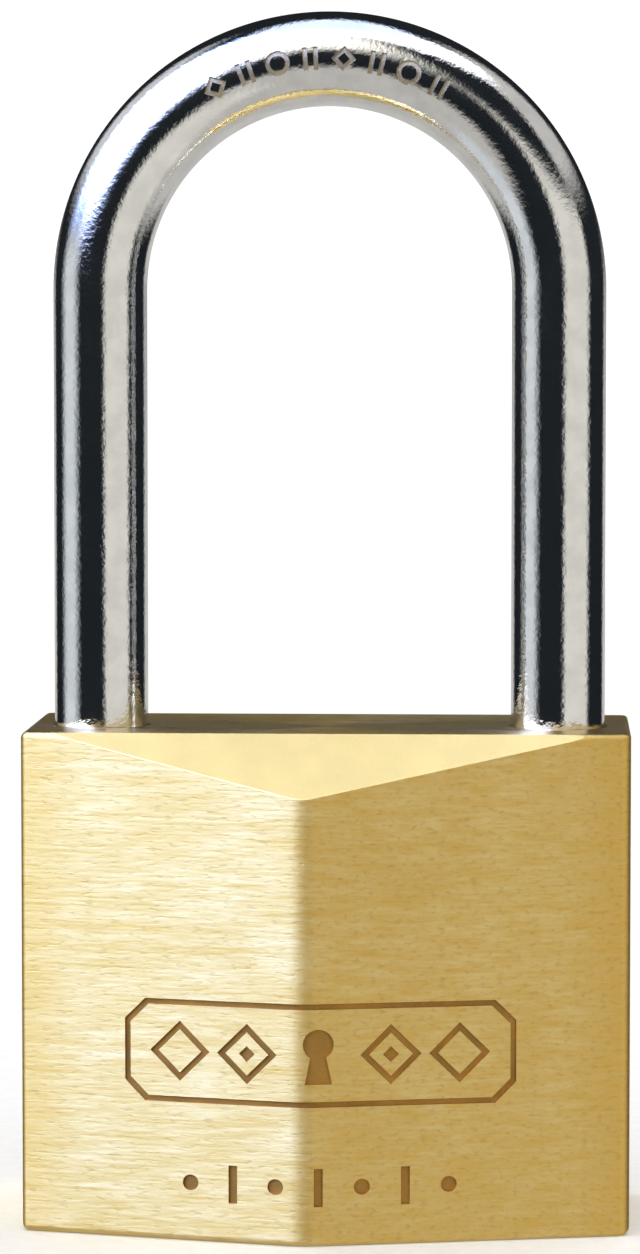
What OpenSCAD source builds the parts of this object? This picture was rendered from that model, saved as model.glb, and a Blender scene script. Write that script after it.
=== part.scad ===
// Solid-body padlock: a ridged brass block, a long steel shackle, a pin-tumbler plug
// and two sliding bolts that a cam on the plug draws in.
// Millimetres. The origin is the middle of the underside, +Z is up and -Y is the ridged front.
// The lock is drawn shut with its plug turned to open, so both bolts stand clear of the shackle.

/* [Body] */
// Width of the body, across the two shackle legs
body_w = 38.5; // [38.5:0.1:39.5]
// Height of the body
body_h = 31.8; // [31.6:0.2:34]
// Depth of the body at its two side edges
side_depth = 14.6; // [14:0.2:16]
// How far the front ridge stands out past the side edges
ridge_out = 4.5; // [3:0.1:5]
// Sideways place of the ridge
ridge_x = -1.2; // [-3:0.1:3]
// Radius that rounds the ridge
ridge_r = 3.5; // [2:0.5:5]
// Drop of the sloping top facet where it meets the ridge
facet_drop = 3.75; // [2.5:0.25:4.5]
// How far the top face reaches in front of the side edges
facet_edge = 0.4; // [0.2:0.1:1]
// Depth of the engraved marks
mark_depth = 0.2; // [0.1:0.05:0.3]

/* [Shackle] */
// Diameter of the shackle rod
rod_d = 6; // [5.9:0.05:6]
// Distance between the centres of the two legs
leg_pitch = 29.3; // [29.2:0.05:29.4]
// Clear height under the crown with the shackle shut
clear_h = 39.5; // [20:0.5:63]
// Travel of the shackle
lift = 11; // [9:0.5:11]

/* [Cylinder] */
// Diameter of the plug
plug_d = 11; // [10.8:0.1:11]
// Diameter of the key pins and driver pins
pin_d = 2.3; // [2:0.1:2.4]
// Distance from one pin to the next
pin_pitch = 3; // [2.9:0.05:3]
// Height of the lowest pin above the underside
pin_z0 = 3.6; // [3:0.1:3.6]

/* [Bolts] */
// Diameter of the two bolts
bolt_d = 5; // [4.6:0.1:5]
// Travel of each bolt in a quarter turn of the plug
bolt_throw = 1.3; // [1:0.05:1.3]
// Height of the bolts above the underside
bolt_z = 26.3; // [26.2:0.05:26.3]

/* [Hidden] */
$fn = 96;

BRASS = "#d8b85e";
PIN_BRASS = "#c9a24a";
STEEL = "#c4c7cc";
SPRING_STEEL = "#9ea2a8";

running = 0.1;          // radial clearance of a moving fit
press = 0.02;           // radial gap of a pressed-in piece
over = 0.5;             // how far a cutting tool runs past a face

// Front and back of the body: the box of the whole lock is centred on the origin
side_x = body_w / 2;
back_y = (side_depth + ridge_out) / 2;
front_y = -back_y;
side_y = back_y - side_depth;
facet_y = side_y - facet_edge;
lock_y = 0.9;           // plane of the shackle, the plug and the bolts

// Shackle
rod_r = rod_d / 2;
leg_x = leg_pitch / 2;
crown_z = body_h + clear_h - (leg_x - rod_r);
heel_floor_z = 2.3;
heel_end_z = 6.5;
toe_end_z = 22.3;
toe_floor_z = 22;
end_chamfer = 0.5;
stop_pin_z = 21.5;      // the pin that keeps the heel in the body
stop_pin_r = 1;

// Bolts and cam
bolt_r = bolt_d / 2;
bolt_tip_x = leg_x - rod_r - 0.25;
bolt_inner_x = 4.6;
bolt_tip_chamfer = 0.6;
notch_x = bolt_tip_x + bolt_throw + running;
notch_h = bolt_d + 0.5;
neck_r = leg_x - notch_x;
neck_z0 = stop_pin_z - stop_pin_r - running - lift;
neck_z1 = bolt_z + bolt_r + 0.15 - lift;
arm_end_x = 4.2;
arm_gap = 0.05;
cam_small = 1.2;        // reach of the cam with the bolts thrown
cam_rate = bolt_throw / 90;
cam_rate_rad = bolt_throw / (PI / 2);
cam_large = cam_small + bolt_throw;
cam_steps = 12;
hook_x = cam_large + 0.04;
pocket_r = 0.8;
pocket_depth = 3.5;
pocket_y = 1;
pocket_z = 1.05;

// Plug
plug_r = plug_d / 2;
plug_face_z = 0.2;
plug_top_z = 20.4;
keyway_top_z = 16.9;
keyway_half = 1;
groove_z = 18.1;        // groove that the plug's own pin runs in
groove_depth = 0.9;
plug_pin_r = 0.7;
tongue_w = 2;
tongue_h = 1.3;
chamber_top_z = bolt_z + bolt_r + 0.2;

// Pin stacks
pin_r = pin_d / 2;
pin_hole_r = pin_r + running;
pin_count = 5;
shear_gap = 0.15;
key_pin_lengths = [4.6, 3.4, 4.1, 2.9, 3.8];
driver_length = 3.2;
driver_x = plug_r + 0.05;
chamber_cap_length = 2.9;
cap_x = side_x - chamber_cap_length;

// Engraved marks
stroke = 0.36;
badge_w = 24.6;
badge_h = 6.5;
badge_cut = 1.3;
badge_x = -0.2;
badge_z = 12;
badge_pitch = 4.5;
row_z = 3.7;
row_pitch = 2.7;

function on_circle(r, a) = [r * cos(a), r * sin(a)];

// Direction from point p that just touches the circle of radius r about c, on the side given
function touching(p, c, r, side) =
    atan2(c[1] - p[1], c[0] - p[0]) + side * asin(r / norm(c - p));

// Plan of the body: flat back and sides, and two front faces that meet in a rounded ridge
ridge_c = [ridge_x, front_y + ridge_r];
left_a = touching([-side_x, side_y], ridge_c, ridge_r, -1) - 90;
right_a = touching([side_x, side_y], ridge_c, ridge_r, 1) + 90;
ridge_steps = 8;
body_plan = concat(
    [[-side_x, back_y], [-side_x, side_y]],
    [for (i = [0:ridge_steps]) ridge_c + on_circle(ridge_r, left_a + (right_a - left_a) * i / ridge_steps)],
    [[side_x, side_y], [side_x, back_y]]
);

module body_prism() {
    linear_extrude(body_h)
        polygon(body_plan);
}

// Wedge that planes the sloping facet off the top of the front
module facet_wedge() {
    slope = facet_drop / (facet_y - front_y);
    reach = 2;
    translate([-side_x - over, 0, 0])
        rotate([90, 0, 90])
            linear_extrude(body_w + 2 * over)
                polygon([
                    [facet_y, body_h],
                    [front_y - reach, body_h - facet_drop - reach * slope],
                    [front_y - reach, body_h + over],
                    [facet_y, body_h + over]
                ]);
}

// Round tool along X, between two places in the plane of the lock
module along_x(x0, x1, r, z) {
    translate([x0, lock_y, z])
        rotate([0, 90, 0])
            cylinder(r = r, h = x1 - x0);
}

module cut_corner_plate(w, h, cut) {
    polygon([
        [cut - w / 2, -h / 2], [w / 2 - cut, -h / 2], [w / 2, cut - h / 2], [w / 2, h / 2 - cut],
        [w / 2 - cut, h / 2], [cut - w / 2, h / 2], [-w / 2, h / 2 - cut], [-w / 2, cut - h / 2]
    ]);
}

module diamond(size) {
    polygon([[0, -size], [size, 0], [0, size], [-size, 0]]);
}

module diamond_ring(size) {
    difference() {
        diamond(size);
        diamond(size - stroke * 1.5);
    }
}

module keyhole_mark() {
    translate([0, 0.7])
        circle(r = 0.95);
    polygon([[-0.4, 0.3], [0.4, 0.3], [0.85, -1.8], [-0.85, -1.8]]);
}

// Badge: a cut-corner frame round a keyhole, with diamonds either side
module badge() {
    difference() {
        cut_corner_plate(badge_w, badge_h, badge_cut);
        cut_corner_plate(badge_w - 2 * stroke, badge_h - 2 * stroke, badge_cut - stroke * 0.4);
    }
    keyhole_mark();
    for (side = [-1, 1]) {
        translate([side * badge_pitch, 0])
            diamond_ring(1.9);
        translate([side * badge_pitch, 0])
            diamond(0.5);
        translate([side * badge_pitch * 1.95, 0])
            diamond_ring(1.9);
    }
}

// Row of plain dots and bars near the foot
module mark_row() {
    for (i = [-3:3])
        translate([i * row_pitch, 0])
            if (i % 2 == 0)
                square([0.55, 2.4], center = true);
            else
                circle(r = 0.5);
}

// The marks as tools that cut to an even depth below the two front faces
module engraving() {
    difference() {
        rotate([90, 0, 0])
            linear_extrude(back_y + over) {
                translate([badge_x, badge_z])
                    badge();
                translate([badge_x, row_z])
                    mark_row();
            }
        translate([0, mark_depth, -over])
            linear_extrude(body_h)
                polygon(body_plan);
    }
}

module body() {
    color(BRASS)
        difference() {
            body_prism();
            facet_wedge();
            engraving();
            // Blind holes for the two shackle legs
            translate([leg_x, lock_y, toe_floor_z])
                cylinder(r = rod_r + running, h = body_h);
            translate([-leg_x, lock_y, heel_floor_z])
                cylinder(r = rod_r + running, h = body_h);
            // Bore for the plug, carried on above it as the cam's chamber
            translate([0, lock_y, -over])
                cylinder(r = plug_r + running, h = chamber_top_z + over);
            // Cross bore for the two bolts, drilled from the toe side
            along_x(-leg_x, side_x + over, bolt_r + running, bolt_z);
            // Pin chambers, drilled from the toe side into the plug's bore
            for (i = [0:pin_count - 1])
                along_x(1, side_x + over, pin_hole_r, pin_z0 + i * pin_pitch);
            // Holes from the back for the two retaining pins
            translate([-leg_x, back_y + over, stop_pin_z])
                rotate([90, 0, 0])
                    cylinder(r = stop_pin_r + press, h = back_y + over - lock_y);
            translate([plug_pin_x, back_y + over, groove_z])
                rotate([90, 0, 0])
                    cylinder(r = plug_pin_r + press, h = back_y + over - plug_pin_y);
        }
}

module shackle_leg(x, end_z) {
    translate([x, lock_y, end_z + end_chamfer])
        cylinder(r = rod_r, h = crown_z - end_z - end_chamfer);
    translate([x, lock_y, end_z])
        cylinder(r1 = rod_r - end_chamfer, r2 = rod_r, h = end_chamfer);
}

// Notch in the inner side of a leg that a bolt enters
module leg_notch(side) {
    translate([side * (notch_x - rod_d), lock_y, bolt_z])
        cube([2 * rod_d, 2 * rod_d, notch_h], center = true);
}

module shackle() {
    color(STEEL)
        difference() {
            union() {
                shackle_leg(leg_x, toe_end_z);
                shackle_leg(-leg_x, heel_end_z);
                translate([0, lock_y, crown_z])
                    rotate([90, 0, 0])
                        rotate_extrude(angle = 180)
                            translate([leg_x, 0])
                                circle(r = rod_r);
            }
            leg_notch(1);
            leg_notch(-1);
            // Neck that frees the raised heel to swivel on its pin
            translate([-leg_x, lock_y, neck_z0])
                difference() {
                    cylinder(r = rod_d, h = neck_z1 - neck_z0);
                    translate([0, 0, -over])
                        cylinder(r = neck_r, h = neck_z1 - neck_z0 + 2 * over);
                }
            // Slot in the back of the heel leg that slides past its pin
            translate([-leg_x - stop_pin_r - 0.15, lock_y + neck_r, neck_z0])
                cube([2 * stop_pin_r + 0.3, rod_d, stop_pin_z + stop_pin_r + running - neck_z0]);
        }
}

// Round wire wound into a spring that stands on the XY plane, swept ring by ring
module coil_spring(height, coil_r, wire_r, turns, ring_per_turn, sides) {
    rings = turns * ring_per_turn;
    rise = height - 2 * wire_r;
    points = [
        for (i = [0:rings])
            for (s = [0:sides - 1])
                let (a = 360 * i / ring_per_turn, w = 360 * s / sides, r = coil_r + wire_r * cos(w))
                    [r * cos(a), r * sin(a), wire_r + rise * i / rings + wire_r * sin(w)]
    ];
    walls = [
        for (i = [0:rings - 1])
            for (s = [0:sides - 1])
                let (t = (s + 1) % sides, a = i * sides, b = a + sides)
                    each [[a + s, a + t, b + t], [a + s, b + t, b + s]]
    ];
    ends = [
        [for (s = [sides - 1:-1:0]) s],
        [for (s = [0:sides - 1]) rings * sides + s]
    ];
    polyhedron(points, concat(walls, ends), convexity = 10);
}

module shackle_spring() {
    color(SPRING_STEEL)
        translate([-leg_x, lock_y, heel_floor_z + 0.05])
            coil_spring(heel_end_z - heel_floor_z - 0.1, 2, 0.29, 5, 12, 6);
}

module shackle_retaining_pin() {
    color(PIN_BRASS)
        translate([-leg_x, back_y, stop_pin_z])
            rotate([90, 0, 0])
                cylinder(r = stop_pin_r, h = back_y - lock_y - neck_r - running);
}

plug_pin_x = -(plug_r - groove_depth + 0.05 + plug_pin_r);
plug_pin_y = lock_y - 1.6;

module plug_retaining_pin() {
    color(PIN_BRASS)
        translate([plug_pin_x, back_y, groove_z])
            rotate([90, 0, 0])
                cylinder(r = plug_pin_r, h = back_y - plug_pin_y - 0.1);
}

// Keyway seen along the plug: open at the rim opposite the pins, with one ward rib
module keyway_plan() {
    rib = 0.7;
    polygon([
        [-keyway_half, -plug_r - over], [0.2, -plug_r - over], [0.2, -1.6], [keyway_half, -1.6],
        [keyway_half, 0.7], [keyway_half - rib, 0.9], [keyway_half - rib, 1.6], [keyway_half, 1.8],
        [keyway_half, 3.5], [-keyway_half, 3.5]
    ]);
}

module plug() {
    face_chamfer = 0.3;
    color(BRASS)
        translate([0, lock_y, 0])
            difference() {
                union() {
                    translate([0, 0, plug_face_z])
                        cylinder(r1 = plug_r - face_chamfer, r2 = plug_r, h = face_chamfer);
                    translate([0, 0, plug_face_z + face_chamfer])
                        cylinder(r = plug_r, h = plug_top_z - plug_face_z - face_chamfer);
                }
                translate([0, 0, -over])
                    linear_extrude(keyway_top_z + over)
                        keyway_plan();
                for (i = [0:pin_count - 1])
                    translate([0, 0.25, pin_z0 + i * pin_pitch])
                        rotate([-90, 0, 0])
                            cylinder(r = pin_hole_r, h = plug_r);
                // Groove for the plug's retaining pin
                translate([0, 0, groove_z - plug_pin_r - running])
                    difference() {
                        cylinder(r = plug_d, h = 2 * (plug_pin_r + running));
                        translate([0, 0, -over])
                            cylinder(r = plug_r - groove_depth, h = 4);
                    }
                // Slot that the cam's tongue drops into
                translate([0, 0, plug_top_z])
                    cube([3 * plug_r, tongue_w + 2 * press, 2 * tongue_h], center = true);
            }
}

// Edge of the cam's working face a degrees before the bolts are fully drawn:
// its reach changes evenly with the turn, so each bolt moves evenly
function cam_edge(a) =
    let (reach = cam_large - cam_rate * a)
        [reach * cos(a) + cam_rate_rad * sin(a), reach * sin(a) - cam_rate_rad * cos(a)];

cam_half = [for (i = [0:cam_steps]) cam_edge(90 * i / cam_steps)];

module cam() {
    lobe_z0 = bolt_z - bolt_r - 0.1;
    flange_h = 1;
    color(PIN_BRASS)
        translate([0, lock_y, 0]) {
            translate([-plug_r + 0.8, -tongue_w / 2, plug_top_z - tongue_h + press])
                cube([2 * plug_r - 1.6, tongue_w, tongue_h]);
            translate([0, 0, plug_top_z + press])
                cylinder(r = 4.4, h = flange_h);
            translate([0, 0, plug_top_z + press + flange_h])
                cylinder(r = 2, h = lobe_z0 - plug_top_z - press - flange_h);
            translate([0, 0, lobe_z0])
                linear_extrude(bolt_z - 0.1 - lobe_z0)
                    polygon(concat(cam_half, [for (p = cam_half) -p]));
        }
}

// Bolt for the toe side, about its own axis: a round body, an arm past the cam on the
// upper front quarter, and a hook at the arm's end that the cam pushes on
module bolt() {
    blank_x = bolt_tip_x - bolt_tip_chamfer;
    big = 2 * bolt_d;
    difference() {
        intersection() {
            rotate([0, 90, 0]) {
                translate([0, 0, -arm_end_x])
                    cylinder(r = bolt_r, h = blank_x + arm_end_x);
                translate([0, 0, blank_x])
                    cylinder(r1 = bolt_r, r2 = bolt_r - bolt_tip_chamfer, h = bolt_tip_chamfer);
            }
            union() {
                translate([bolt_inner_x, -big / 2, -big / 2])
                    cube([big, big, big]);
                translate([-arm_end_x - over, -big, arm_gap])
                    cube([arm_end_x + bolt_inner_x + 2 * over, big - arm_gap, big]);
                translate([-arm_end_x - over, -big / 2, -big])
                    cube([arm_end_x - hook_x + over, big, big - arm_gap]);
                translate([-arm_end_x - over, -big, -2 * arm_gap])
                    cube([arm_end_x - hook_x + over, big - arm_gap, 4 * arm_gap]);
            }
        }
        translate([bolt_inner_x - over, pocket_y, pocket_z])
            rotate([0, 90, 0])
                cylinder(r = pocket_r, h = pocket_depth + over);
    }
}

module toe_bolt() {
    color(STEEL)
        translate([0, lock_y, bolt_z])
            bolt();
}

module heel_bolt() {
    color(STEEL)
        translate([0, lock_y, bolt_z])
            rotate([0, 0, 180])
                bolt();
}

// Spring between the end of one bolt's arm and the pocket in the other bolt
module bolt_spring() {
    end_gap = 0.03;
    length = bolt_inner_x + pocket_depth - arm_end_x;
    color(SPRING_STEEL)
        translate([arm_end_x + end_gap, pocket_y, pocket_z])
            rotate([0, 90, 0])
                coil_spring(length - 2 * end_gap, 0.6, 0.13, 8, 8, 5);
}

module rear_bolt_spring() {
    translate([0, lock_y, bolt_z])
        bolt_spring();
}

module front_bolt_spring() {
    translate([0, lock_y, bolt_z])
        rotate([0, 0, 180])
            bolt_spring();
}

module cross_bore_cap() {
    length = side_x - leg_x - rod_r - running - 0.1;
    color(BRASS)
        along_x(side_x - length, side_x, bolt_r + running - press, bolt_z);
}

// Key pin number i, with its flat end at the plug's rim and its blunt point in the keyway
module key_pin(i) {
    point = 0.8;
    rim = 0.2;
    length = key_pin_lengths[i - 1];
    color(PIN_BRASS)
        translate([0, lock_y + plug_r - shear_gap, pin_z0 + (i - 1) * pin_pitch])
            rotate([90, 0, 0]) {
                cylinder(r1 = pin_r - rim, r2 = pin_r, h = rim);
                translate([0, 0, rim])
                    cylinder(r = pin_r, h = length - rim - point);
                translate([0, 0, length - point])
                    cylinder(r1 = pin_r, r2 = 0.4, h = point);
            }
}

// Spool-shaped driver pin number i, standing on the plug
module driver_pin(i) {
    head = 0.8;
    waist_r = pin_r - 0.3;
    color(STEEL)
        translate([driver_x, lock_y, pin_z0 + (i - 1) * pin_pitch])
            rotate([0, 90, 0])
                rotate_extrude()
                    polygon([
                        [0, 0], [pin_r - 0.15, 0], [pin_r, 0.15], [pin_r, head], [waist_r, head + 0.3],
                        [waist_r, driver_length - head - 0.3], [pin_r, driver_length - head],
                        [pin_r, driver_length], [0, driver_length]
                    ]);
}

module driver_spring(i) {
    end_gap = 0.05;
    length = cap_x - driver_x - driver_length - 2 * end_gap;
    color(SPRING_STEEL)
        translate([driver_x + driver_length + end_gap, lock_y, pin_z0 + (i - 1) * pin_pitch])
            rotate([0, 90, 0])
                coil_spring(length, 0.9, 0.16, 8, 10, 5);
}

module chamber_cap(i) {
    color(BRASS)
        along_x(cap_x, side_x, pin_hole_r - press, pin_z0 + (i - 1) * pin_pitch);
}

body();
shackle();
shackle_spring();
shackle_retaining_pin();
plug();
plug_retaining_pin();
cam();
toe_bolt();
heel_bolt();
front_bolt_spring();
rear_bolt_spring();
cross_bore_cap();
key_pin(1);  // key_pin_1
key_pin(2);  // key_pin_2
key_pin(3);  // key_pin_3
key_pin(4);  // key_pin_4
key_pin(5);  // key_pin_5
driver_pin(1);  // driver_pin_1
driver_pin(2);  // driver_pin_2
driver_pin(3);  // driver_pin_3
driver_pin(4);  // driver_pin_4
driver_pin(5);  // driver_pin_5
driver_spring(1);  // driver_spring_1
driver_spring(2);  // driver_spring_2
driver_spring(3);  // driver_spring_3
driver_spring(4);  // driver_spring_4
driver_spring(5);  // driver_spring_5
chamber_cap(1);  // chamber_cap_1
chamber_cap(2);  // chamber_cap_2
chamber_cap(3);  // chamber_cap_3
chamber_cap(4);  // chamber_cap_4
chamber_cap(5);  // chamber_cap_5
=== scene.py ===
"""Solid-body padlock: the finished surfaces, springs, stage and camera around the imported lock."""

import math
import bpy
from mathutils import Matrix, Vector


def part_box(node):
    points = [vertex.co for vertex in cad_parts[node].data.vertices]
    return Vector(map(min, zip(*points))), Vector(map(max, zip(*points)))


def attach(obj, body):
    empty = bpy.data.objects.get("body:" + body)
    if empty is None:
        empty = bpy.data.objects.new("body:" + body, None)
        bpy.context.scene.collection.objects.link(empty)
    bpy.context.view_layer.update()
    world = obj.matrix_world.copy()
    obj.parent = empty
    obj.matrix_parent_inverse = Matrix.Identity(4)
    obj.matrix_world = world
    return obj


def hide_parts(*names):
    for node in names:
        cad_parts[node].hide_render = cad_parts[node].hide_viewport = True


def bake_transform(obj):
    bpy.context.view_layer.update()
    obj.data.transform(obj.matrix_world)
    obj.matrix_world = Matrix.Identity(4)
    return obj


bl_info = {
    "name": "Solid-body padlock",
    "version": (1, 0, 0),
    "blender": (4, 5, 0),
    "location": "View3D > Sidebar > Padlock",
    "description": "Finishes a brass padlock: body, long shackle, plug, pins, bolts, springs and studio",
    "category": "Add Mesh",
}

import bmesh
import bpy
from bpy.props import FloatProperty, FloatVectorProperty, IntProperty, PointerProperty
from mathutils import Matrix, Vector

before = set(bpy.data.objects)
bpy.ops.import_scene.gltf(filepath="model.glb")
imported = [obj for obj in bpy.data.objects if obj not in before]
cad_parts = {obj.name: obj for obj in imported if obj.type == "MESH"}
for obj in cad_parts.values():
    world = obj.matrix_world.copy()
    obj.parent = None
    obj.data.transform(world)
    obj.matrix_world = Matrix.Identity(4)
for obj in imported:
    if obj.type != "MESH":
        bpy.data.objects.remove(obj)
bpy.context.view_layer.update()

MM = 0.001
MM_IN_A_METRE = 1000.0
PIN_COUNT = 5
BODY_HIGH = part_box("body")[1]
SHACKLE_LOW, SHACKLE_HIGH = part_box("shackle")
PLUG_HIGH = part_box("plug")[1]
ROD_R = (SHACKLE_HIGH.y - SHACKLE_LOW.y) / 2
LEG_X = SHACKLE_HIGH.x - ROD_R
LOCK_Y = (SHACKLE_HIGH.y + SHACKLE_LOW.y) / 2
CROWN_Z = SHACKLE_HIGH.z - ROD_R - LEG_X
BODY_TOP = BODY_HIGH.z

# How far the sharp edges of the inner pieces are broken
PLUG_EDGE = 0.05 * MM
CAM_EDGE = 0.02 * MM
RETAINING_PIN_EDGE = 0.03 * MM
TUMBLER_EDGE = 0.04 * MM
BOLT_EDGE = 0.06 * MM
CAP_EDGE = 0.02 * MM

# Shape of the shackle that its CAD mesh doesn't give directly
ROD_CHAMFER = 0.5 * MM
TOE_LEG_STEPS = 24
HEEL_LEG_STEPS = 30
SLOT_WIDTH = 2.3 * MM

# Wire radius and number of turns of each kind of spring
SHACKLE_WIRE = 0.29 * MM
SHACKLE_TURNS = 5
BOLT_WIRE = 0.13 * MM
BOLT_TURNS = 8
DRIVER_WIRE = 0.16 * MM
DRIVER_TURNS = 8


# ---------------------------------------------------------------- mesh helpers


def new_piece(name, bm, materials):
    """An object in the row frame from a bmesh, which is used up."""
    mesh = bpy.data.meshes.new(name)
    bm.to_mesh(mesh)
    bm.free()
    for material in materials:
        mesh.materials.append(material)
    piece = bpy.data.objects.new(name, mesh)
    bpy.context.scene.collection.objects.link(piece)
    return piece


def cad_bmesh(node):
    """A merged copy of a CAD node's mesh, with its flat faces made whole again."""
    bm = bmesh.new()
    bm.from_mesh(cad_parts[node].data)
    bmesh.ops.remove_doubles(bm, verts=bm.verts, dist=0.001 * MM)
    bmesh.ops.dissolve_limit(
        bm, angle_limit=math.radians(0.3), verts=bm.verts, edges=bm.edges, use_dissolve_boundaries=False
    )
    return bm


def is_sharp(edge, degrees):
    return len(edge.link_faces) == 2 and edge.calc_face_angle(0) > math.radians(degrees)


def round_edges(bm, edges, radius, segments):
    """Rounds the edges given, and leaves every other edge as it is."""
    bmesh.ops.bevel(
        bm,
        geom=edges,
        offset=radius,
        offset_type="OFFSET",
        affect="EDGES",
        segments=segments,
        profile=0.5,
        material=-1,
        clamp_overlap=True,
        loop_slide=True,
    )


def smooth_piece(piece, degrees=32):
    """Smooth shading that breaks at sharp edges and stays flat across large faces."""
    bm = bmesh.new()
    bm.from_mesh(piece.data)
    for face in bm.faces:
        face.smooth = True
    for edge in bm.edges:
        edge.smooth = not is_sharp(edge, degrees)
    bm.to_mesh(piece.data)
    bm.free()
    weighted = piece.modifiers.new("weighted_normals", "WEIGHTED_NORMAL")
    weighted.keep_sharp = True
    weighted.weight = 60


def stand_in(piece, body, slot, *nodes):
    """The piece rides on its body and stands for the CAD nodes; the slot is not used."""
    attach(piece, body)
    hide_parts(*nodes)


def cut_away(piece, cutter):
    """Cuts one mesh out of another for good, and removes the cutter."""
    cut = piece.modifiers.new("cut", "BOOLEAN")
    cut.operation = "DIFFERENCE"
    cut.solver = "EXACT"
    cut.object = cutter
    bpy.context.view_layer.update()
    whole = piece.evaluated_get(bpy.context.evaluated_depsgraph_get())
    bm = bmesh.new()
    bm.from_mesh(whole.data)
    bmesh.ops.remove_doubles(bm, verts=bm.verts, dist=0.0005 * MM)
    bmesh.ops.dissolve_degenerate(bm, edges=bm.edges, dist=0.0005 * MM)
    piece.modifiers.clear()
    for material in whole.data.materials:
        if material.name not in piece.data.materials:
            piece.data.materials.append(material)
    bm.to_mesh(piece.data)
    bm.free()
    bpy.data.objects.remove(cutter)


# ------------------------------------------------------------ material helpers


def add_node(tree, kind, inputs=None, **settings):
    """A node with its settings made and its inputs filled or linked."""
    node = tree.nodes.new(kind)
    for key, value in settings.items():
        setattr(node, key, value)
    for key, value in (inputs or {}).items():
        if isinstance(value, bpy.types.NodeSocket):
            tree.links.new(value, node.inputs[key])
        else:
            node.inputs[key].default_value = value
    return node


def maths(tree, operation, *values):
    node = add_node(tree, "ShaderNodeMath", dict(enumerate(values)), operation=operation)
    return node.outputs[0]


def ramp(tree, value, low, high, to_low=0.0, to_high=1.0, smooth=True):
    node = add_node(
        tree,
        "ShaderNodeMapRange",
        {"Value": value, "From Min": low, "From Max": high, "To Min": to_low, "To Max": to_high},
        interpolation_type="SMOOTHSTEP" if smooth else "LINEAR",
    )
    return node.outputs["Result"]


def mix_colour(tree, factor, first, second):
    node = add_node(tree, "ShaderNodeMix", data_type="RGBA")
    colour_inputs = [s for s in node.inputs if s.type == "RGBA"]
    for socket, value in ((node.inputs[0], factor), (colour_inputs[0], first), (colour_inputs[1], second)):
        if isinstance(value, bpy.types.NodeSocket):
            tree.links.new(value, socket)
        else:
            socket.default_value = value
    return next(s for s in node.outputs if s.type == "RGBA")


def noise(tree, vector, scale, detail=2.0, roughness=0.5):
    node = add_node(
        tree,
        "ShaderNodeTexNoise",
        {"Vector": vector, "Scale": scale, "Detail": detail, "Roughness": roughness},
        noise_dimensions="3D",
    )
    return node.outputs["Fac"]


def new_group(name, inputs, outputs):
    """A shader node group with its sockets, its input node's outputs and its output node."""
    tree = bpy.data.node_groups.new(name, "ShaderNodeTree")
    for label, kind, default in inputs:
        socket = tree.interface.new_socket(label, in_out="INPUT", socket_type=kind)
        if default is not None:
            socket.default_value = default
    for label, kind in outputs:
        tree.interface.new_socket(label, in_out="OUTPUT", socket_type=kind)
    return tree, tree.nodes.new("NodeGroupInput").outputs, tree.nodes.new("NodeGroupOutput").inputs


def brush_group():
    """Horizontal brush lines on upright faces, and lines along X on level ones."""
    if "brush_lines" in bpy.data.node_groups:
        return bpy.data.node_groups["brush_lines"]
    tree, given, out = new_group(
        "brush_lines",
        [("Lines per mm", "NodeSocketFloat", 7.0), ("Line length mm", "NodeSocketFloat", 3.0)],
        [
            ("Lines", "NodeSocketFloat"), ("Bands", "NodeSocketFloat"), ("Scratches", "NodeSocketFloat"),
            ("Level", "NodeSocketFloat"),
        ],
    )
    place = add_node(tree, "ShaderNodeTexCoord")
    split = add_node(tree, "ShaderNodeSeparateXYZ", {"Vector": place.outputs["Object"]})
    normal = add_node(tree, "ShaderNodeSeparateXYZ", {"Vector": place.outputs["Normal"]})
    level = ramp(tree, maths(tree, "ABSOLUTE", normal.outputs["Z"]), 0.8, 0.95)
    upright = maths(tree, "SUBTRACT", 1.0, level)
    across_z = maths(tree, "MULTIPLY", split.outputs["Z"], upright)
    across = maths(tree, "MULTIPLY_ADD", split.outputs["Y"], level, across_z)
    along_y = maths(tree, "MULTIPLY", split.outputs["Y"], upright)
    along = maths(tree, "ADD", split.outputs["X"], along_y)

    def lines(density, length, detail):
        x = maths(tree, "DIVIDE", maths(tree, "MULTIPLY", along, MM_IN_A_METRE), length)
        z = maths(tree, "MULTIPLY", maths(tree, "MULTIPLY", across, MM_IN_A_METRE), density)
        vector = add_node(tree, "ShaderNodeCombineXYZ", {"X": x, "Y": level, "Z": z})
        return noise(tree, vector.outputs["Vector"], 1.0, detail, 0.6)

    density = given["Lines per mm"]
    length = given["Line length mm"]
    fine = lines(density, length, 3.0)
    bands = lines(maths(tree, "MULTIPLY", density, 0.3), maths(tree, "MULTIPLY", length, 2.5), 2.0)
    deep = lines(maths(tree, "MULTIPLY", density, 0.8), maths(tree, "MULTIPLY", length, 0.36), 2.0)
    tree.links.new(fine, out["Lines"])
    tree.links.new(bands, out["Bands"])
    tree.links.new(ramp(tree, deep, 0.50, 0.74), out["Scratches"])
    tree.links.new(level, out["Level"])
    return tree


def tarnish_group():
    """Slow clouds and fine specks, from 0 to 1, that every metal shares."""
    if "cloudy_tarnish" in bpy.data.node_groups:
        return bpy.data.node_groups["cloudy_tarnish"]
    tree, given, out = new_group(
        "cloudy_tarnish",
        [("Cloud size mm", "NodeSocketFloat", 6.0), ("Speck size mm", "NodeSocketFloat", 0.35)],
        [("Clouds", "NodeSocketFloat"), ("Specks", "NodeSocketFloat")],
    )
    place = add_node(tree, "ShaderNodeTexCoord").outputs["Object"]
    cloud_scale = maths(tree, "DIVIDE", MM_IN_A_METRE, given["Cloud size mm"])
    speck_scale = maths(tree, "DIVIDE", MM_IN_A_METRE, given["Speck size mm"])
    tree.links.new(ramp(tree, noise(tree, place, cloud_scale, 4.0), 0.3, 0.7), out["Clouds"])
    tree.links.new(noise(tree, place, speck_scale, 2.0), out["Specks"])
    return tree


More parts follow.
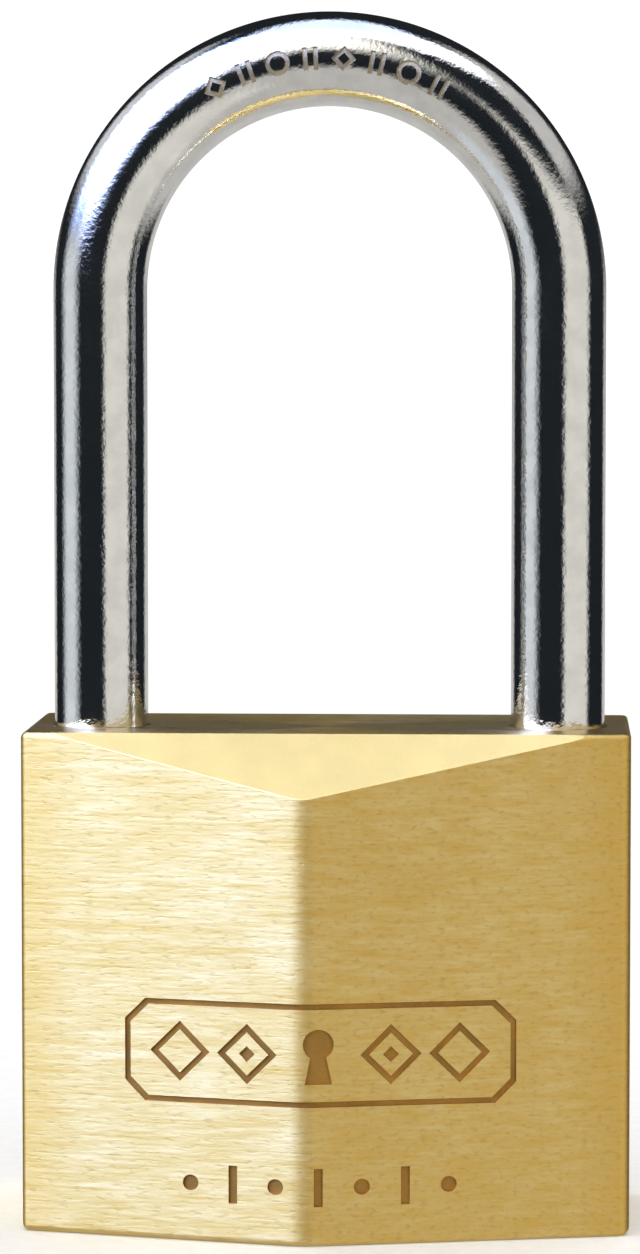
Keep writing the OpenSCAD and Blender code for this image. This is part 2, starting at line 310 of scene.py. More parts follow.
def new_metal(name, roughness, anisotropic=0.0):
    """A metal with its base colour still to be set, and its tree and shader."""
    material = bpy.data.materials.new(name)
    material.use_nodes = True
    tree = material.node_tree
    shader = next(n for n in tree.nodes if n.type == "BSDF_PRINCIPLED")
    shader.inputs["Metallic"].default_value = 1.0
    shader.inputs["Roughness"].default_value = roughness
    shader.inputs["Anisotropic"].default_value = anisotropic
    return material, tree, shader


def use_group(tree, group, **inputs):
    """The outputs of a group, with its inputs set."""
    node = add_node(tree, "ShaderNodeGroup", node_tree=group)
    for key, value in inputs.items():
        node.inputs[key.replace("_", " ")].default_value = value
    return node.outputs


def painted_edge_shade(tree, amount):
    """A mask of painted shade that deepens the colour towards the body's sides and foot."""
    place = add_node(tree, "ShaderNodeTexCoord").outputs["Object"]
    split = add_node(tree, "ShaderNodeSeparateXYZ", {"Vector": place})
    sides = ramp(tree, maths(tree, "ABSOLUTE", split.outputs["X"]), BODY_HIGH.x * 0.7, BODY_HIGH.x)
    foot = ramp(tree, split.outputs["Z"], BODY_TOP * 0.02, BODY_TOP * 0.2, 0.5, 0.0)
    return maths(tree, "MULTIPLY", maths(tree, "MAXIMUM", sides, foot), amount)


def brushed_metal(name, dark, light, roughness, density, length, relief, anisotropy, edge_shade=0.0):
    """Metal with brush lines in its colour, gloss and relief: density in lines per mm, length in mm."""
    if name in bpy.data.materials:
        return bpy.data.materials[name]
    material, tree, shader = new_metal(name, roughness, anisotropy)
    brush = use_group(tree, brush_group(), Lines_per_mm=density, Line_length_mm=length)
    tarnish = use_group(tree, tarnish_group(), Cloud_size_mm=7.0, Speck_size_mm=0.25)
    mixed = maths(tree, "MULTIPLY_ADD", brush["Bands"], 0.5, maths(tree, "MULTIPLY", brush["Lines"], 0.5))
    lightness = ramp(tree, mixed, 0.36, 0.64, smooth=False)
    colour = mix_colour(tree, lightness, (*dark, 1.0), (*light, 1.0))
    clouded = maths(tree, "MULTIPLY", tarnish["Clouds"], 0.3)
    # Tarnish clouds and the painted shade towards the sides and foot darken the colour together
    tarnish_and_edge_shade = maths(tree, "MAXIMUM", clouded, painted_edge_shade(tree, edge_shade))
    tarnished_and_shaded = mix_colour(tree, tarnish_and_edge_shade, colour, (dark[0] * 0.96, dark[1] * 0.9, dark[2] * 0.66, 1.0))
    scratched = mix_colour(
        tree,
        maths(tree, "MULTIPLY", brush["Scratches"], 0.34),
        tarnished_and_shaded,
        (dark[0] * 0.62, dark[1] * 0.56, dark[2] * 0.4, 1.0),
    )
    tree.links.new(scratched, shader.inputs["Base Color"])
    rough = ramp(tree, mixed, 0.3, 0.7, roughness - 0.05, roughness + 0.05, smooth=False)
    smoother = maths(tree, "MULTIPLY_ADD", brush["Level"], -0.4 * roughness, rough)
    tree.links.new(smoother, shader.inputs["Roughness"])
    height = maths(tree, "SUBTRACT", brush["Lines"], maths(tree, "MULTIPLY", brush["Scratches"], 0.4))
    bump = add_node(tree, "ShaderNodeBump", {"Height": height, "Strength": 0.6, "Distance": relief})
    tree.links.new(bump.outputs["Normal"], shader.inputs["Normal"])
    if anisotropy:
        turned = add_node(tree, "ShaderNodeTangent", direction_type="RADIAL", axis="Z")
        tree.links.new(turned.outputs["Tangent"], shader.inputs["Tangent"])
        shader.inputs["Anisotropic Rotation"].default_value = 0.25
    return material


def plain_metal(name, colour, roughness, relief, cloud_depth=0.78):
    """Turned, ground or drawn metal with faint clouds and specks."""
    if name in bpy.data.materials:
        return bpy.data.materials[name]
    material, tree, shader = new_metal(name, roughness)
    tarnish = use_group(tree, tarnish_group(), Cloud_size_mm=2.5, Speck_size_mm=0.12)
    deep = tuple(c * cloud_depth for c in colour)
    shade = mix_colour(tree, tarnish["Clouds"], (*colour, 1.0), (*deep, 1.0))
    tree.links.new(shade, shader.inputs["Base Color"])
    rough = ramp(tree, tarnish["Specks"], 0.3, 0.7, roughness * 0.8, roughness * 1.25, smooth=False)
    tree.links.new(rough, shader.inputs["Roughness"])
    grain = {"Height": tarnish["Specks"], "Strength": 0.3, "Distance": relief}
    bump = add_node(tree, "ShaderNodeBump", grain)
    tree.links.new(bump.outputs["Normal"], shader.inputs["Normal"])
    return material


def body_brass():
    look = bpy.context.scene.padlock_body
    return brushed_metal(
        "body_brass",
        dark=tuple(look.brass_dark),
        light=tuple(look.brass_light),
        roughness=look.roughness,
        density=look.lines_per_mm,
        length=1.8,
        relief=look.relief,
        anisotropy=look.anisotropy,
        # The body's brass gets painted shade towards its sides and foot
        edge_shade=look.edge_shade,
    )


def engraved_brass():
    colour = tuple(bpy.context.scene.padlock_body.engraved)
    return plain_metal("engraved_brass", colour, roughness=0.55, relief=0.01 * MM)


# Milled facet brass: its grain and roughness are real, and its darker colour is painted shade on the
# up-facing facet
def milled_brass_painted_shade():
    colour = tuple(bpy.context.scene.padlock_body.milled)
    return plain_metal("milled_brass_painted_shade", colour, roughness=0.5, relief=0.02 * MM, cloud_depth=0.93)


def turned_brass():
    return brushed_metal(
        "turned_brass",
        dark=(0.74, 0.55, 0.22),
        light=(0.88, 0.70, 0.33),
        roughness=0.32,
        density=9.0,
        length=4.0,
        relief=0.004 * MM,
        anisotropy=0.0,
    )


def pin_brass():
    return plain_metal("turned_pin_brass", (0.80, 0.60, 0.26), roughness=0.24, relief=0.006 * MM)


def ground_steel():
    return plain_metal("ground_steel", (0.56, 0.57, 0.59), roughness=0.28, relief=0.006 * MM)


def spring_steel():
    return plain_metal("drawn_steel", (0.42, 0.43, 0.45), roughness=0.30, relief=0.004 * MM)


def stamped_steel():
    return plain_metal("stamped_steel", (0.66, 0.57, 0.40), roughness=0.50, relief=0.02 * MM)


def polished_chrome():
    if "rod_chrome" in bpy.data.materials:
        return bpy.data.materials["rod_chrome"]
    look = bpy.context.scene.padlock_shackle
    material, tree, shader = new_metal("rod_chrome", look.roughness)
    tarnish = use_group(tree, tarnish_group(), Cloud_size_mm=1.6, Speck_size_mm=look.speck_mm)
    clean = tuple(look.chrome)
    hazy = tuple(c * 0.88 for c in clean)
    shade = mix_colour(tree, tarnish["Clouds"], (*clean, 1.0), (*hazy, 1.0))
    tree.links.new(shade, shader.inputs["Base Color"])
    gloss = look.roughness
    rough = ramp(tree, tarnish["Clouds"], 0.0, 1.0, gloss * 0.7, gloss * 1.4, smooth=False)
    tree.links.new(rough, shader.inputs["Roughness"])
    ripple = {"Height": tarnish["Specks"], "Strength": 0.5, "Distance": look.relief}
    bump = add_node(tree, "ShaderNodeBump", ripple)
    tree.links.new(bump.outputs["Normal"], shader.inputs["Normal"])
    return material


# ------------------------------------------------------------------ properties


def length_property(name, description, default):
    return FloatProperty(name=name, description=description, default=default, unit="LENGTH", precision=6)


def share_property(name, description, default):
    return FloatProperty(name=name, description=description, default=default, min=0, max=1)


def colour_property(name, description, default):
    return FloatVectorProperty(
        name=name, description=description, default=default, subtype="COLOR", size=3, min=0, max=1
    )


def place_property(name, description, default):
    return FloatVectorProperty(
        name=name, description=description, default=default, subtype="TRANSLATION", unit="LENGTH", size=3
    )


class BodyLook(bpy.types.PropertyGroup):
    """Finish of the brass body"""

    edge_radius: length_property("Edge radius", "Rounding of the body's outer edges", 0.42 * MM)
    facet_radius: length_property("Facet edge radius", "Rounding of the sloping facet's edges", 0.22 * MM)
    mouth_radius: length_property(
        "Mouth radius", "Rounding of the leg holes and the plug's bore", 0.12 * MM
    )
    brass_dark: colour_property(
        "Brass, dark lines", "Colour at the bottom of the brush lines", (0.89, 0.60, 0.16)
    )
    brass_light: colour_property(
        "Brass, light lines", "Colour at the top of the brush lines", (1.0, 0.80, 0.36)
    )
    engraved: colour_property("Engraving", "Colour inside the engraved marks", (0.58, 0.32, 0.075))
    # Painted shade: the facet's brass is set darker than the body's brass, while its milled grain is real
    milled: colour_property("Facet", "Colour of the milled facet above the ridge", (0.84, 0.64, 0.23))
    roughness: share_property("Roughness", "Gloss of the brushed faces", 0.50)
    anisotropy: share_property("Anisotropy", "How far the brush lines spread light up and down", 0.7)
    # Painted shade: darker colour towards the body's sides and foot
    edge_shade: share_property("Painted edge shade", "Deeper colour towards the sides and foot", 0.6)
    lines_per_mm: FloatProperty(
        name="Brush lines", description="Brush lines in a millimetre", default=5.0, min=1, max=20
    )
    relief: length_property("Brush relief", "Depth of the brush lines", 0.03 * MM)


class ShackleLook(bpy.types.PropertyGroup):
    """Shape and finish of the shackle"""

    segments: IntProperty(
        name="Round segments", description="Faces round the rod", default=72, min=24, max=160
    )
    crown_steps: IntProperty(
        name="Crown steps", description="Faces along the crown", default=110, min=24, max=300
    )
    chrome: colour_property("Chrome", "Colour of the plating", (0.86, 0.865, 0.875))
    roughness: share_property("Roughness", "Gloss of the plating", 0.07)
    relief: length_property("Ripple", "Height of the faint ripple in the plating", 0.03 * MM)
    speck_mm: FloatProperty(
        name="Ripple size", description="Size of the ripple in mm", default=0.28, min=0.05
    )
    mark_depth: length_property("Mark depth", "Depth of the punched marks on the crown", 0.13 * MM)
    mark_size: length_property("Mark size", "Height of a punched mark", 1.6 * MM)
    mark_line: length_property("Mark line", "Width of a punched line", 0.3 * MM)
    mark_pitch: length_property("Mark pitch", "From one punched mark to the next", 2.12 * MM)
    mark_count: IntProperty(name="Marks", description="Punched marks on the crown", default=8, min=0, max=12)


class StageLook(bpy.types.PropertyGroup):
    """Camera and floor"""

    lens: FloatProperty(name="Lens", description="Focal length in mm", default=133.9, min=20)
    camera_place: place_property("Camera", "Where the camera stands", (0.0138, -0.29705, 0.05806))
    camera_aim: place_property("Aim", "Point that the camera looks at", (-0.00064, 0.00195, 0.03802))
    floor_radius: length_property("Floor radius", "Radius of the round floor", 0.7)


# ------------------------------------------------------------------- the body


def outer_faces(bm):
    """Faces that lie on the plain outside of the body, with no hole wall or engraving among them."""
    places = [v.co for v in bm.verts]
    found = set()
    for face in bm.faces:
        reach = face.normal.dot(face.verts[0].co) + 0.004 * MM
        if all(face.normal.dot(p) <= reach for p in places):
            found.add(face)
    return found


class PADLOCK_OT_body(bpy.types.Operator):
    """Rounds the body's edges and gives it brushed brass with darker engraving"""

    bl_idname = "padlock.body"
    bl_label = "Brass body"

    def execute(self, context):
        look = context.scene.padlock_body
        bm = cad_bmesh("body")
        layer = bm.edges.layers.int.new("round")
        bm.normal_update()
        outside = outer_faces(bm)
        engraved_front = LOCK_Y - (PLUG_HIGH.x + 0.2 * MM)
        for face in bm.faces:
            marked = face not in outside and face.calc_center_median().y < engraved_front
            sloping = face in outside and 0.3 < face.normal.z < 0.95
            face.material_index = 1 if marked else 2 if sloping else 0

        def crease(edge):
            return is_sharp(edge, 15) and all(f in outside for f in edge.link_faces)

        def on_facet(edge):
            return any(f.normal.z > 0.5 and f.normal.y < -0.3 for f in edge.link_faces)

        def on_mouth(edge):
            flat = [f for f in edge.link_faces if f in outside]
            return is_sharp(edge, 60) and len(flat) == 1 and abs(flat[0].normal.z) > 0.99

        facet = [e for e in bm.edges if crease(e) and on_facet(e)]
        mouths = [e for e in bm.edges if on_mouth(e)]
        corners = [e for e in bm.edges if crease(e) and not on_facet(e)]
        for number, group in enumerate((corners, facet, mouths), start=1):
            for edge in group:
                edge[layer] = number
        for number, radius, segments in (
            (1, look.edge_radius, 4), (2, look.facet_radius, 3), (3, look.mouth_radius, 2)
        ):
            edges = [e for e in bm.edges if e[layer] == number]
            if not edges:
                raise RuntimeError(f"the body has no edges in group {number}")
            round_edges(bm, edges, radius, segments)
        bm.edges.layers.int.remove(layer)
        piece = new_piece("brass_body", bm, [body_brass(), engraved_brass(), milled_brass_painted_shade()])
        smooth_piece(piece)
        stand_in(piece, "lock_body", "brushed_brass", "body")
        return {"FINISHED"}


# ---------------------------------------------------------------- the shackle


def rod_bmesh(segments, crown_steps):
    """The bare rod: toe leg up, half turn of the crown, heel leg down, with chamfered ends."""
    toe_z = leg_end_z(1)
    heel_z = SHACKLE_LOW.z
    chamfer = ROD_CHAMFER
    bm = bmesh.new()
    bmesh.ops.create_circle(
        bm, cap_ends=True, radius=ROD_R - chamfer, segments=segments,
        matrix=Matrix.Translation((LEG_X, LOCK_Y, toe_z)),
    )

    def grow(up, radius_change=0.0):
        """Extrudes the open end, moves it up and widens it by a share of its radius."""
        nonlocal end
        made = bmesh.ops.extrude_edge_only(bm, edges=end)["geom"]
        verts = [g for g in made if isinstance(g, bmesh.types.BMVert)]
        end = [g for g in made if isinstance(g, bmesh.types.BMEdge)]
        centre = sum((v.co for v in verts), Vector()) / len(verts)
        bmesh.ops.translate(bm, vec=(0, 0, up), verts=verts)
        if radius_change:
            factor = 1 + radius_change
            bmesh.ops.scale(
                bm, vec=(factor, factor, 1), verts=verts, space=Matrix.Translation(-centre)
            )

    end = list(bm.edges)
    grow(chamfer, chamfer / (ROD_R - chamfer))
    leg = CROWN_Z - toe_z - chamfer
    for _ in range(TOE_LEG_STEPS):
        grow(leg / TOE_LEG_STEPS)
    spun = bmesh.ops.spin(
        bm, geom=end, cent=(0, LOCK_Y, CROWN_Z), axis=(0, -1, 0), angle=math.pi, steps=crown_steps,
        use_merge=False, use_duplicate=False,
    )["geom_last"]
    end = [g for g in spun if isinstance(g, bmesh.types.BMEdge)]
    leg = CROWN_Z - heel_z - chamfer
    for _ in range(HEEL_LEG_STEPS):
        grow(-leg / HEEL_LEG_STEPS)
    grow(-chamfer, -chamfer / ROD_R)
    bmesh.ops.contextual_create(bm, geom=end)
    bmesh.ops.remove_doubles(bm, verts=bm.verts, dist=0.001 * MM)
    bmesh.ops.recalc_face_normals(bm, faces=bm.faces)
    return bm


def leg_end_z(side):
    """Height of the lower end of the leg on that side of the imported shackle."""
    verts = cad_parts["shackle"].data.vertices
    return min(v.co.z for v in verts if v.co.x * side > 0)


def notch_levels():
    """Lower and upper height of the bolt notches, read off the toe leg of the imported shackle."""
    inside = 0.4 * MM
    above_end = leg_end_z(1) + 1 * MM
    corners = [
        v.co.z
        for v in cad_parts["shackle"].data.vertices
        if LEG_X - ROD_R + inside < v.co.x < LEG_X and above_end < v.co.z < BODY_TOP
    ]
    return min(corners), max(corners)


def torus_place(along, across, out):
    """A point on the crown: along the crown and round the rod in metres, and out from its surface."""
    turn = along / LEG_X
    lean = across / ROD_R
    ring = LEG_X + (ROD_R + out) * math.sin(lean)
    return Vector((
        ring * math.sin(turn),
        LOCK_Y - (ROD_R + out) * math.cos(lean),
        CROWN_Z + ring * math.cos(turn),
    ))


def crown_marks(look):
    """Plain punch marks as one mesh that reaches into the front of the crown.

    A diamond, two bars, a ring and two bars follow each other along the rod.
    """
    bm = bmesh.new()
    low, high = -look.mark_depth, 2 * look.mark_depth
    half, line = look.mark_size / 2, look.mark_line

    def frame_shape(sides):
        made = bmesh.ops.create_circle(bm, cap_ends=True, radius=half, segments=sides)["verts"]
        face = made[0].link_faces[0]
        rim = bmesh.ops.inset_individual(bm, faces=[face], thickness=line, use_even_offset=True)["faces"]
        bmesh.ops.delete(bm, geom=[face], context="FACES_ONLY")
        return set(rim)

    def bars():
        found = set()
        for side in (-1, 1):
            made = bmesh.ops.create_grid(bm, x_segments=1, y_segments=6, size=0.5)["verts"]
            bmesh.ops.scale(bm, verts=made, vec=(line, 2 * half * 0.92, 1))
            bmesh.ops.translate(bm, verts=made, vec=(side * half * 0.42, 0, 0))
            found |= {f for v in made for f in v.link_faces}
        return found

    for i in range(look.mark_count):
        along = (i - (look.mark_count - 1) / 2) * look.mark_pitch
        rim = bars() if i % 2 else frame_shape(4 if i % 4 == 0 else 16)
        base = {v for f in rim for v in f.verts}
        grown = bmesh.ops.extrude_face_region(bm, geom=list(rim))["geom"]
        top = [g for g in grown if isinstance(g, bmesh.types.BMVert)]
        for verts, out in ((base, low), (top, high)):
            for vert in verts:
                vert.co = torus_place(along + vert.co.x, vert.co.y - 0.1 * MM, out)
    bmesh.ops.recalc_face_normals(bm, faces=bm.faces)
    return bm


def leg_cutters():
    """Blocks that cut the bolt notches and the heel's slot, and the neck's radius, bottom and top."""
    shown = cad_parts["shackle"].data.vertices
    notch_low, notch_high = notch_levels()
    heel = [v.co for v in shown if v.co.x < 0 and v.co.z < BODY_TOP]
    # Points well inside the rod's surface, which lie on the neck and on the slot
    around = [v for v in heel if (v.xy - Vector((-LEG_X, LOCK_Y))).length < ROD_R - 0.8 * MM]
    neck_r = min(
        (v.xy - Vector((-LEG_X, LOCK_Y))).length for v in around if v.z > SHACKLE_LOW.z + 1 * MM
    )
    ring = [v.z for v in around if v.z > SHACKLE_LOW.z + 1 * MM and v.x < -LEG_X - neck_r * 0.9]
    neck_low, neck_high = min(ring), max(ring)
    # Points on the slot's floor, above the neck
    back = [v.z for v in heel if abs(v.y - LOCK_Y - neck_r) < 0.01 * MM and v.z > neck_high + 1 * MM]
    slot_high = max(back)
    big = 4 * ROD_R
    bm = bmesh.new()

    def block(low, high):
        made = bmesh.ops.create_cube(bm, size=1)["verts"]
        bmesh.ops.scale(bm, verts=made, vec=high - low)
        bmesh.ops.translate(bm, verts=made, vec=(high + low) / 2)

    for side in (1, -1):
        edge = LEG_X - neck_r
        xs = sorted((side * edge, side * (edge - big)))
        block(Vector((xs[0], LOCK_Y - big, notch_low)), Vector((xs[1], LOCK_Y + big, notch_high)))
    half = SLOT_WIDTH / 2
    block(
        Vector((-LEG_X - half, LOCK_Y + neck_r, (neck_low + neck_high) / 2)),
        Vector((-LEG_X + half, LOCK_Y + big, slot_high)),
    )
    return bm, neck_r, neck_low, neck_high


def neck_cutter(neck_r, low, high, segments):
    """A square-section ring round the heel leg."""
    bm = bmesh.new()
    centre = Vector((-LEG_X, LOCK_Y, 0))
    side = bmesh.ops.create_grid(
        bm, x_segments=1, y_segments=1, size=0.5, matrix=Matrix.Rotation(math.pi / 2, 4, "X")
    )["verts"]
    bmesh.ops.delete(bm, geom=bm.faces[:], context="FACES_ONLY")
    bmesh.ops.scale(bm, verts=side, vec=(ROD_R, 1, high - low))
    bmesh.ops.translate(bm, verts=side, vec=centre + Vector((neck_r + ROD_R / 2, 0, (low + high) / 2)))
    bmesh.ops.spin(
        bm, geom=bm.verts[:] + bm.edges[:], cent=centre, axis=(0, 0, 1), angle=2 * math.pi,
        steps=segments, use_merge=True, use_duplicate=False,
    )
    bmesh.ops.remove_doubles(bm, verts=bm.verts, dist=0.001 * MM)
    bmesh.ops.recalc_face_normals(bm, faces=bm.faces)
    return bm


class PADLOCK_OT_shackle(bpy.types.Operator):
    """Makes the polished shackle with its notches, neck and punched marks"""

    bl_idname = "padlock.shackle"
    bl_label = "Shackle"

    def execute(self, context):
        look = context.scene.padlock_shackle
        chrome, stamped = polished_chrome(), stamped_steel()
        piece = new_piece("shackle_rod", rod_bmesh(look.segments, look.crown_steps), [chrome, stamped])
        blocks, neck_r, neck_low, neck_high = leg_cutters()
        cut_away(piece, new_piece("leg_cutter", blocks, [chrome]))
        ring = neck_cutter(neck_r, neck_low, neck_high, look.segments)
        cut_away(piece, new_piece("neck_cutter", ring, [chrome]))
        if look.mark_count:
            cut_away(piece, new_piece("mark_cutter", crown_marks(look), [stamped]))
        smooth_piece(piece, 38)
        stand_in(piece, "shackle", "polished_chrome", "shackle")
        return {"FINISHED"}


# ---------------------------------------------------- plug, pins, bolts, caps


def finished_copy(node, name, body, slot, material, radius):
    """A CAD piece with its sharp edges just broken, in its own material."""
    bm = cad_bmesh(node)
    bm.normal_update()
    sharp = [e for e in bm.edges if is_sharp(e, 35)]
    if sharp:
        round_edges(bm, sharp, radius, 2)
    piece = new_piece(name, bm, [material])
    smooth_piece(piece)
    stand_in(piece, body, slot, node)
    return piece


class PADLOCK_OT_cylinder(bpy.types.Operator):
    """Finishes the plug, its cam, the pins, the chamber caps and the retaining pins"""

    bl_idname = "padlock.cylinder"
    bl_label = "Plug and pins"

    def execute(self, context):
        finished_copy("plug", "turned_plug", "plug", "plug_brass", turned_brass(), PLUG_EDGE)
        finished_copy("cam", "bolt_cam", "plug", "pin_brass", pin_brass(), CAM_EDGE)
        for held, end in (("plug", "plug"), ("shackle", "heel")):
            finished_copy(
                f"{held}_retaining_pin", f"{end}_stop_pin", "lock_body", "pin_brass", pin_brass(),
                RETAINING_PIN_EDGE,
            )
        for i in range(1, PIN_COUNT + 1):
            key, driver = f"key_pin_{i}", f"driver_pin_{i}"
            finished_copy(key, f"pointed_{key}", key, "pin_brass", pin_brass(), TUMBLER_EDGE)
            finished_copy(driver, f"spool_{driver}", driver, "hardened_steel", ground_steel(), TUMBLER_EDGE)
            finished_copy(
                f"chamber_cap_{i}", f"flush_cap_{i}", "lock_body", "brushed_brass", body_brass(), CAP_EDGE
            )
        return {"FINISHED"}


class PADLOCK_OT_bolts(bpy.types.Operator):
    """Finishes the two sliding bolts and the cap of their bore"""

    bl_idname = "padlock.bolts"
    bl_label = "Bolts"

    def execute(self, context):
        for end in ("toe", "heel"):
            finished_copy(
                f"{end}_bolt", f"{end}_side_bolt", f"{end}_bolt", "hardened_steel", ground_steel(), BOLT_EDGE
            )
        finished_copy(
            "cross_bore_cap", "bolt_bore_cap", "lock_body", "brushed_brass", body_brass(), CAP_EDGE
        )
        return {"FINISHED"}


# --------------------------------------------------------------------- springs


def coil_bmesh(start, end, coil_r, wire_r, turns):
    """Round wire wound from start to end, with a closed turn at each end."""
    axis = (end - start).normalized()
    length = (end - start).length - 2 * wire_r
    closed_rise = 2.1 * wire_r
    side = axis.orthogonal().normalized()
    per_turn = 20
    bm = bmesh.new()
    frame_matrix = Matrix.Identity(3)
    frame_matrix.col[0] = side
    frame_matrix.col[1] = axis
    frame_matrix.col[2] = side.cross(axis)
    place = Matrix.Translation(start + axis * wire_r + side * coil_r) @ frame_matrix.to_4x4()
    made = bmesh.ops.create_circle(bm, cap_ends=True, radius=wire_r, segments=10, matrix=place)["verts"]
    end_edges = [e for e in bm.edges if all(v in made for v in e.verts)]
    centre = start.copy()
    for share, rise in ((1, closed_rise), (turns - 2, length - 2 * closed_rise), (1, closed_rise)):
        steps = round(per_turn * share)
        spun = bmesh.ops.spin(
            bm, geom=end_edges, cent=centre, axis=axis, dvec=axis * (rise / steps),
            angle=2 * math.pi * share, steps=steps, use_merge=False, use_duplicate=False,
        )["geom_last"]
        end_edges = [g for g in spun if isinstance(g, bmesh.types.BMEdge)]
    bmesh.ops.contextual_create(bm, geom=end_edges)
    bmesh.ops.remove_doubles(bm, verts=bm.verts, dist=0.0002 * MM)
    bmesh.ops.recalc_face_normals(bm, faces=bm.faces)
    return bm


def spring_between(node, name, along, wire_r, turns, moving):
    """A wound spring in the CAD spring's box, along axis 0 to 2, with its still and its moving end."""
    low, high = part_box(node)
    middle = (low + high) / 2
    start, end = middle.copy(), middle.copy()
    start[along], end[along] = low[along], high[along]
    across = 2 if along == 0 else 0
    coil_r = (high[across] - low[across]) / 2 - wire_r
    piece = new_piece(name, coil_bmesh(start, end, coil_r, wire_r, turns), [spring_steel()])
    for face in piece.data.polygons:
        face.use_smooth = True
    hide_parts(node)
    if moving == "start":
        start, end = end, start
    return piece, start, end


class PADLOCK_OT_springs(bpy.types.Operator):
    """Winds the shackle spring, the two bolt springs and the five driver springs"""

    bl_idname = "padlock.springs"
    bl_label = "Springs"

    def execute(self, context):
        piece, start, end = spring_between(
            "shackle_spring", "heel_lift_spring", 2, SHACKLE_WIRE, SHACKLE_TURNS, "end"
        )
        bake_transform(piece)
        for which, bolt, moving in (("rear", "toe_bolt", "end"), ("front", "heel_bolt", "start")):
            piece, start, end = spring_between(
                f"{which}_bolt_spring", f"{which}_bolt_coil", 0, BOLT_WIRE, BOLT_TURNS, moving
            )
            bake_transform(piece)
        for i in range(1, PIN_COUNT + 1):
            piece, start, end = spring_between(
                f"driver_spring_{i}", f"driver_coil_{i}", 0, DRIVER_WIRE, DRIVER_TURNS, "start"
            )
            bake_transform(piece)
        return {"FINISHED"}


# ----------------------------------------------------------------------- stage

# Each card of the studio, in degrees: from, to and edge softness round the lock (0 is the front,
# + is right), the same above the horizon, and its colour and strength. Later cards cover earlier ones.
STUDIO_CARDS = (
    ("table", (-180, 180, 1), (-91, -20, 7), (0.56, 0.54, 0.50)),
    ("back_wall", (140, 220, 7), (-50, 2, 7), (0.60, 0.58, 0.55)),
    ("left_high", (-135, -74, 8), (20, 56, 8), (0.70, 0.70, 0.72)),
    ("right_high", (70, 135, 8), (24, 60, 8), (0.60, 0.58, 0.55)),
    ("right_panel", (14, 77, 7), (-50, 20, 7), (0.77, 0.74, 0.67)),
    ("left_strip", (-97, -56, 12), (-46, 14, 9), (0.70, 0.74, 0.76)),
    ("key_edge", (-60, 3, 18), (26, 58, 16), (3.2, 3.1, 2.8)),
    ("key_low", (-60, -20, 14), (14, 40, 9), (3.0, 3.6, 5.8)),
    ("key", (-95, -22, 15), (30, 60, 20), (6.4, 9.4, 24.0)),
    ("overhead", (-85, 112, 8), (55, 95, 5), (2.0, 2.0, 2.1)),
    ("zenith", (-180, 180, 10), (72, 95, 5), (1.12, 1.28, 1.75)),
)
FRONT_DARK = (0.012, 0.015, 0.018, 1.0)
PLAIN_WHITE = (1.12, 1.12, 1.12, 1.0)
# The floor lies just below the lock, so that the two never share a plane
FLOOR_DROP = 0.02 * MM


def studio_world():
    """White to the camera and on the floor; soft cards round a dark front in reflections."""
    world = bpy.data.worlds.new("studio")
    world.use_nodes = True
    tree = world.node_tree
    tree.nodes.clear()
    place = add_node(tree, "ShaderNodeTexCoord").outputs["Generated"]
    split = add_node(tree, "ShaderNodeSeparateXYZ", {"Vector": place})
    front = maths(tree, "MULTIPLY", split.outputs["Y"], -1.0)
    degrees = 180 / math.pi
    round_front = maths(tree, "MULTIPLY", maths(tree, "ARCTAN2", split.outputs["X"], front), degrees)
    back = maths(tree, "MULTIPLY", maths(tree, "ARCTAN2", split.outputs["X"], split.outputs["Y"]), -degrees)
    round_back = maths(tree, "ADD", back, 180.0)
    height = maths(tree, "MULTIPLY", maths(tree, "ARCSINE", split.outputs["Z"]), degrees)

    def between(value, low, high, soft):
        rise = ramp(tree, value, low - soft, low + soft)
        fall = ramp(tree, value, high - soft, high + soft, 1.0, 0.0)
        return maths(tree, "MULTIPLY", rise, fall)

    colour = FRONT_DARK
    for _, sides, heights, tint in STUDIO_CARDS:
        mask = between(height, *heights)
        if sides[1] - sides[0] < 360:
            angle = round_back if sides[1] > 180 else round_front
            mask = maths(tree, "MULTIPLY", mask, between(angle, *sides))
        colour = mix_colour(tree, mask, colour, (*tint, 1.0))
    path = add_node(tree, "ShaderNodeLightPath")
    shown = mix_colour(tree, path.outputs["Is Glossy Ray"], PLAIN_WHITE, colour)
    light = add_node(tree, "ShaderNodeBackground", {"Color": shown, "Strength": 1.0})
    add_node(tree, "ShaderNodeOutputWorld", {"Surface": light.outputs["Background"]})
    return world


def floor_paper():
    """Matt pale paper that is seen from above only."""
    paper = bpy.data.materials.new("pale_floor")
    paper.use_nodes = True
    tree = paper.node_tree
    shader = next(n for n in tree.nodes if n.type == "BSDF_PRINCIPLED")
    place = add_node(tree, "ShaderNodeTexCoord").outputs["Object"]
    grain = ramp(tree, noise(tree, place, 900.0, 3.0), 0.3, 0.7)
    shade = mix_colour(tree, grain, (0.90, 0.90, 0.90, 1.0), (0.93, 0.93, 0.93, 1.0))
    tree.links.new(shade, shader.inputs["Base Color"])
    shader.inputs["Roughness"].default_value = 0.9
    shader.inputs["Specular IOR Level"].default_value = 0.0
    see_through = add_node(tree, "ShaderNodeBsdfTransparent").outputs["BSDF"]
    from_below = add_node(tree, "ShaderNodeNewGeometry").outputs["Backfacing"]
    sides = {0: from_below, 1: shader.outputs["BSDF"], 2: see_through}
    one_sided = add_node(tree, "ShaderNodeMixShader", sides)
    output = next(n for n in tree.nodes if n.type == "OUTPUT_MATERIAL")
    tree.links.new(one_sided.outputs["Shader"], output.inputs["Surface"])
    return paper


def studio_camera(look):
    """The camera where the look places it, turned to its aim."""
    camera = bpy.data.objects.new("camera", bpy.data.cameras.new("camera"))
    camera.data.lens = look.lens
    camera.data.sensor_width = 36
    camera.data.clip_start = 0.01
    place, aim = Vector(look.camera_place), Vector(look.camera_aim)
    camera.location = place
    camera.rotation_euler = (aim - place).to_track_quat("-Z", "Y").to_euler()
    return camera


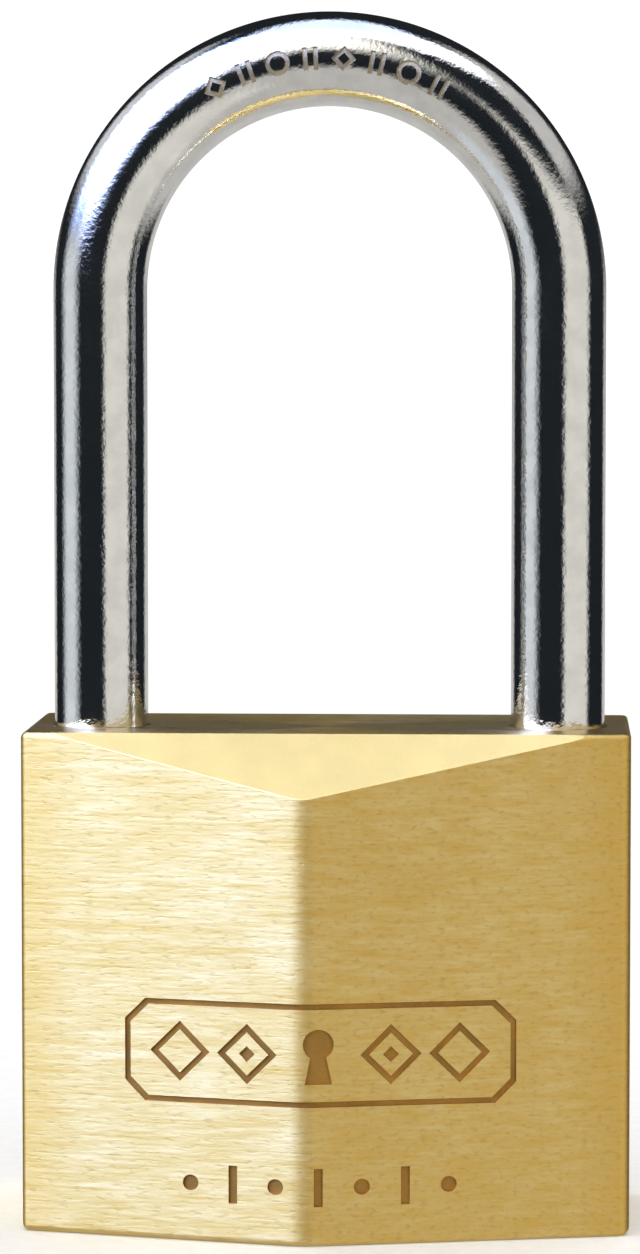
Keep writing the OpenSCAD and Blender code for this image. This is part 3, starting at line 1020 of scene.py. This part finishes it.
class PADLOCK_OT_stage(bpy.types.Operator):
    """Lays the pale floor, lights the studio and sets up the camera"""

    bl_idname = "padlock.stage"
    bl_label = "Stage and camera"

    def execute(self, context):
        look = context.scene.padlock_stage
        bm = bmesh.new()
        bmesh.ops.create_circle(bm, cap_ends=True, radius=look.floor_radius, segments=128)
        bmesh.ops.translate(bm, verts=bm.verts, vec=(0, 0, -FLOOR_DROP))
        floor = new_piece("floor", bm, [floor_paper()])
        floor.visible_glossy = False
        context.scene.world = studio_world()
        context.scene.view_settings.view_transform = "Standard"
        camera = studio_camera(look)
        context.scene.collection.objects.link(camera)
        context.scene.camera = camera
        return {"FINISHED"}


class PADLOCK_PT_panel(bpy.types.Panel):
    """Lists the padlock's pieces in the order they are made"""

    bl_idname = "PADLOCK_PT_panel"
    bl_label = "Padlock"
    bl_space_type = "VIEW_3D"
    bl_region_type = "UI"
    bl_category = "Padlock"

    def draw(self, context):
        for operator in PIECES:
            self.layout.operator(operator.bl_idname)
        for look in (context.scene.padlock_body, context.scene.padlock_shackle, context.scene.padlock_stage):
            for key in look.bl_rna.properties.keys():
                if key not in ("rna_type", "name"):
                    self.layout.prop(look, key)


LOOKS = (BodyLook, ShackleLook, StageLook)
PIECES = (
    PADLOCK_OT_stage,
    PADLOCK_OT_body,
    PADLOCK_OT_shackle,
    PADLOCK_OT_cylinder,
    PADLOCK_OT_bolts,
    PADLOCK_OT_springs,
)


def register():
    for kind in (*LOOKS, *PIECES, PADLOCK_PT_panel):
        bpy.utils.register_class(kind)
    bpy.types.Scene.padlock_body = PointerProperty(type=BodyLook)
    bpy.types.Scene.padlock_shackle = PointerProperty(type=ShackleLook)
    bpy.types.Scene.padlock_stage = PointerProperty(type=StageLook)


def unregister():
    for name in ("padlock_body", "padlock_shackle", "padlock_stage"):
        delattr(bpy.types.Scene, name)
    for kind in reversed((*LOOKS, *PIECES, PADLOCK_PT_panel)):
        bpy.utils.unregister_class(kind)


def main():
    register()
    for operator in PIECES:
        make = getattr(bpy.ops.padlock, operator.bl_idname.split(".")[1])
        if make() != {"FINISHED"}:
            raise RuntimeError(f"{operator.bl_label} was not finished")


if __name__ == "__main__":
    main()
